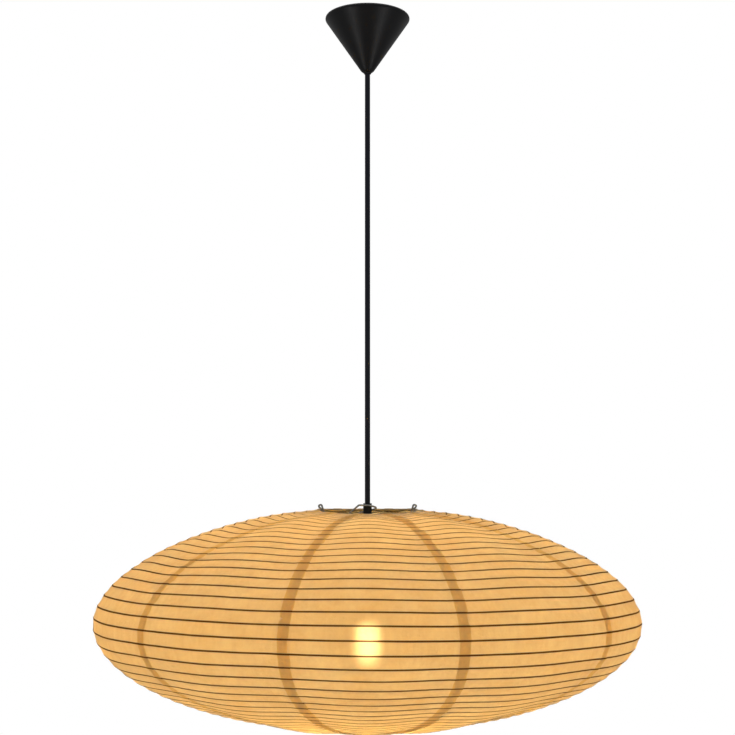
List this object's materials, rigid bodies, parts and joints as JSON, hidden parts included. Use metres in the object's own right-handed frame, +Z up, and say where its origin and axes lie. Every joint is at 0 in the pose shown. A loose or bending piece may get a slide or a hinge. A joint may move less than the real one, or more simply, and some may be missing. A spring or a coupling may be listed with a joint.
{
  "type": "paper pendant lantern",
  "caption": "Wide round paper lantern with a spiral rib, hung from the ceiling on a straight cord, with a cone canopy and a lamp inside.",
  "frame": {"origin": "on the ceiling, in the middle of the ceiling plate's upper face", "axes": "+Z up along the cord, -Y the front that is viewed"},
  "size_m": [0.6, 0.6003, 0.8144],
  "materials": {
    "zinc_steel": "zinc plated",
    "block_plastic": "matt",
    "black_plastic": "satin",
    "cord_sheath": "smooth, slightly blue black",
    "core_ceramic": "unglazed",
    "contact_brass": "bright",
    "canopy_paint": "black, satin",
    "black_rubber": "matt",
    "galvanised_wire": "galvanised",
    "rib_cane": "split cane, brown, matt",
    "cap_metal": "bright",
    "cap_glass": "black glass bead",
    "lamp_plastic": "matt white",
    "lamp_aluminium": "satin",
    "opal_diffuser": "opal, lit warm from within",
    "lantern_paper": "translucent, lit warm from within"
  },
  "bodies": {
    "ceiling": {"ceiling_plate": "zinc_steel", "ceiling_hook": "zinc_steel", "hook_nut": "zinc_steel", "terminal_block": "block_plastic", "terminal_screws": "zinc_steel"},
    "link": {"hanger_link": "zinc_steel"},
    "drop": {"cord_grip": "black_plastic", "grip_screw": "zinc_steel", "cord": "cord_sheath", "holder_dome": "black_plastic", "cord_knot_plate": "black_plastic", "holder_body": "black_plastic", "holder_core": "core_ceramic", "core_screws": "zinc_steel", "screw_shell": "contact_brass", "centre_contact": "contact_brass"},
    "canopy": {"canopy": "canopy_paint", "grommet": "black_rubber"},
    "stretcher": {"wire_stretcher": "galvanised_wire"},
    "lantern": {"top_ring": "galvanised_wire", "bottom_ring": "galvanised_wire", "spiral_rib": "rib_cane", "paper_gore_01": "lantern_paper", "paper_gore_02": "lantern_paper", "paper_gore_03": "lantern_paper", "paper_gore_04": "lantern_paper", "paper_gore_05": "lantern_paper", "paper_gore_06": "lantern_paper", "paper_gore_07": "lantern_paper", "paper_gore_08": "lantern_paper", "paper_gore_09": "lantern_paper", "paper_gore_10": "lantern_paper", "paper_gore_11": "lantern_paper"},
    "lamp": {"lamp_tip": "cap_metal", "lamp_insulator": "cap_glass", "lamp_cap": "cap_metal", "lamp_housing": "lamp_plastic", "lamp_driver": "lamp_plastic", "lamp_column": "lamp_aluminium", "lamp_diffuser": "opal_diffuser"}
  },
  "joints": [
    {"name": "link_swing", "type": "hinge", "parent": "ceiling", "child": "link", "pos_m": [0, 0, -0.022], "axis": [1, 0, 0], "range_deg": [-4, 4]},
    {"name": "cord_swing", "type": "hinge", "parent": "link", "child": "drop", "pos_m": [0, 0, -0.0359], "axis": [0, 1, 0], "range_deg": [-4, 4]},
    {"name": "canopy_slide", "type": "slide", "parent": "drop", "child": "canopy", "axis": [0, 0, -1], "range_m": [0, 0.2]},
    {"name": "lantern_lift", "type": "slide", "parent": "drop", "child": "stretcher", "axis": [0, 0, 1], "range_m": [0, 0.25]},
    {"name": "lantern_turn", "type": "hinge", "parent": "stretcher", "child": "lantern", "pos_m": [0, 0, -0.571], "axis": [0, 0, 1], "continuous": true},
    {"name": "lamp_out", "type": "slide", "parent": "drop", "child": "lamp", "axis": [0, 0, -1], "range_m": [0, 0.22]}
  ]
}
